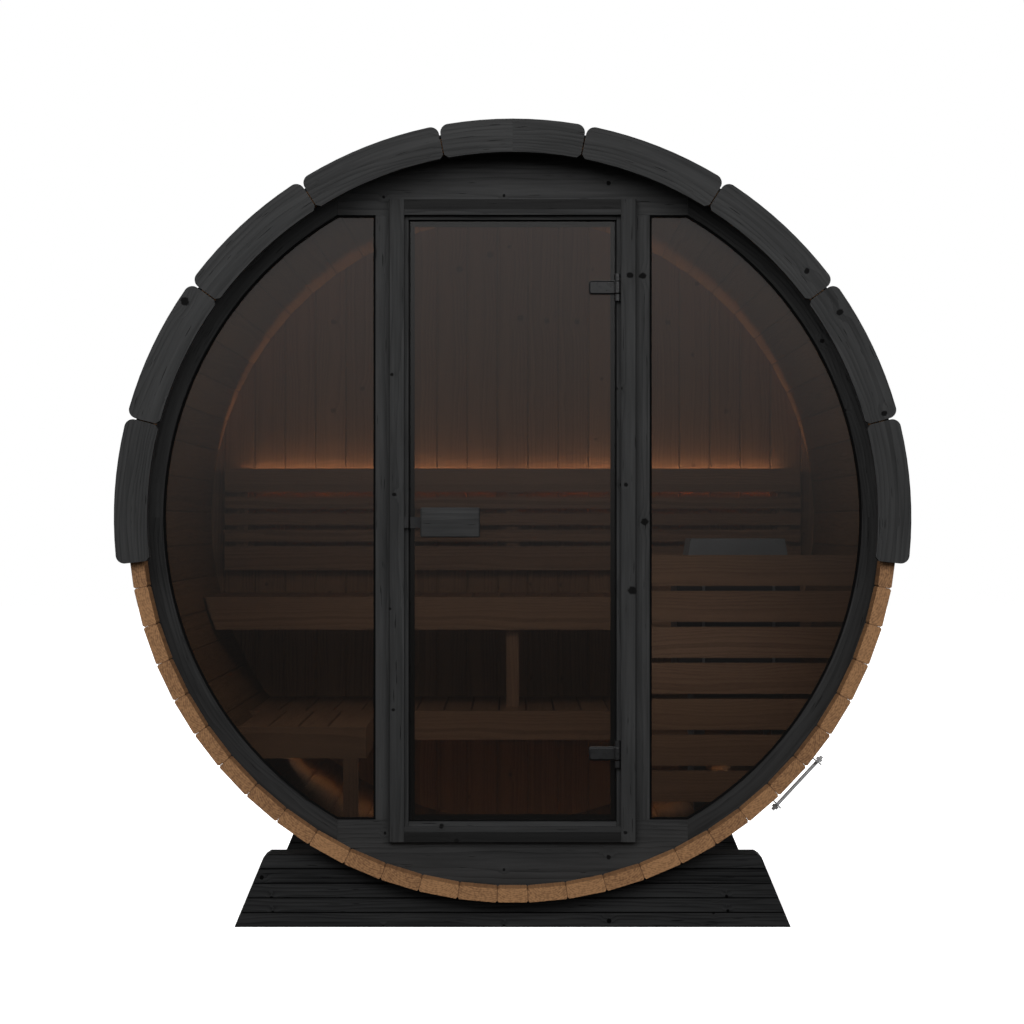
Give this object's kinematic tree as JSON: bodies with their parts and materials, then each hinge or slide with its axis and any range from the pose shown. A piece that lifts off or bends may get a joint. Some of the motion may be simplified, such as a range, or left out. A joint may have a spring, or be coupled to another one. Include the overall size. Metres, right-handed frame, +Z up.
{
  "type": "barrel sauna",
  "caption": "Round barrel sauna of wooden staves on black cradles, with a black glazed front, an outward-opening glass door, benches and a guarded heater inside.",
  "frame": {"origin": "on the ground, at the middle of the barrel's length and width", "axes": "+X to the right seen from the front, +Y to the back along the barrel's axis, +Z up"},
  "size_m": [2.1878, 2.0068, 2.229],
  "materials": {
    "stave_wood": "bare heat-treated softwood",
    "black_wood": "black stain with grain and knots showing",
    "inner_wood": "planed heat-treated softwood",
    "roofing": "granular bitumen sheet",
    "hoop_steel": "brushed",
    "tinted_glass": "grey-bronze tinted",
    "seal_rubber": "matt black",
    "hinge_steel": "polished",
    "catch_plastic": "matt black",
    "light_strip": "warm light diffuser",
    "heater_shell": "grey powder coat"
  },
  "bodies": {
    "cabin": {"lower_staves_right": "stave_wood", "roof_staves_right": "stave_wood", "roof_staves_left": "stave_wood", "lower_staves_left": "stave_wood", "closing_stave": "stave_wood", "front_fascia": "black_wood", "rear_fascia": "black_wood", "front_cradle": "black_wood", "rear_cradle": "black_wood", "front_wall_top": "black_wood", "front_wall_bottom": "black_wood", "front_ring_left": "black_wood", "front_ring_right": "black_wood", "front_posts": "black_wood", "door_frame": "black_wood", "door_stops": "black_wood", "door_casing": "black_wood", "back_wall": "black_wood", "upper_bench_apron": "inner_wood", "upper_bench_slats": "inner_wood", "upper_bench_rails": "inner_wood", "upper_bench_post": "inner_wood", "lower_bench_apron": "inner_wood", "lower_bench_slats": "inner_wood", "lower_bench_rails": "inner_wood", "side_bench_frame": "inner_wood", "side_bench_slats": "inner_wood", "side_bench_leg": "inner_wood", "backrest_slats": "inner_wood", "backrest_battens": "inner_wood", "heater_guard_slats": "inner_wood", "heater_guard_post": "inner_wood", "roof_covering": "roofing", "front_hoop": "hoop_steel", "rear_hoop": "hoop_steel", "tension_bolts": "hoop_steel", "window_glass_left": "tinted_glass", "window_glass_right": "tinted_glass", "window_seals": "seal_rubber", "frame_hinges": "hinge_steel", "catch_keeper": "catch_plastic", "backrest_light": "light_strip", "lower_bench_light": "light_strip", "heater_body": "heater_shell", "heater_hood": "heater_shell"},
    "door": {"door_glass": "tinted_glass", "outer_handle": "black_wood", "inner_handle": "black_wood", "door_catch": "catch_plastic", "door_hinges": "hinge_steel"}
  },
  "joints": [
    {"name": "door_hinge", "type": "hinge", "parent": "cabin", "child": "door", "pos_m": [0.291, -0.905, 1.126], "axis": [0, 0, 1], "range_deg": [0, 105]}
  ]
}
